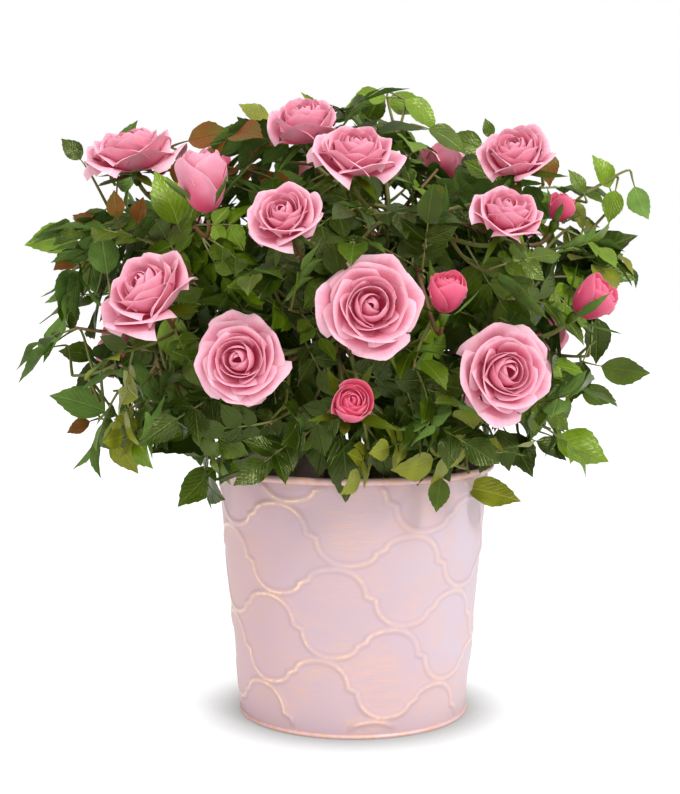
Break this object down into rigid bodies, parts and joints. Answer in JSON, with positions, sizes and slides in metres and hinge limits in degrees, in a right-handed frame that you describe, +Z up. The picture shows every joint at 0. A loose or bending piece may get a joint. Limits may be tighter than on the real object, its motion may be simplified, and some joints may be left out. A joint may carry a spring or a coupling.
{
  "type": "potted miniature rose bush",
  "caption": "Potted miniature rose bush: a dense dome of leaves, open blooms and buds on thin canes, in a tapered round metal pot embossed with a curved lattice.",
  "frame": {"origin": "centre of the pot's flat underside", "axes": "+Z up, -Y towards the front of the plant, +X to the right seen from the front"},
  "size_m": [0.3372, 0.2939, 0.3395],
  "materials": {
    "pot": "satin, pale pink, with worn gold on the raised lattice",
    "soil": "matt, dark brown moist compost",
    "old_wood": "matt brown bark",
    "cane": "satin, green to brown bark",
    "foliage": "satin dark green leaves with pink petals"
  },
  "bodies": {
    "root": {"pot": "pot", "soil": "soil", "stem": "old_wood", "cane_low_1": "cane", "cane_low_2": "cane", "cane_low_3": "cane", "cane_low_4": "cane", "cane_low_5": "cane", "cane_low_6": "cane", "cane_mid_1": "cane", "cane_mid_2": "cane", "cane_mid_3": "cane", "cane_top_1": "cane", "foliage_low_1": "foliage", "foliage_low_2": "foliage", "foliage_low_3": "foliage", "foliage_low_4": "foliage", "foliage_low_5": "foliage", "foliage_low_6": "foliage", "foliage_mid_1": "foliage", "foliage_mid_2": "foliage", "foliage_mid_3": "foliage", "foliage_top_1": "foliage"}
  },
  "joints": []
}
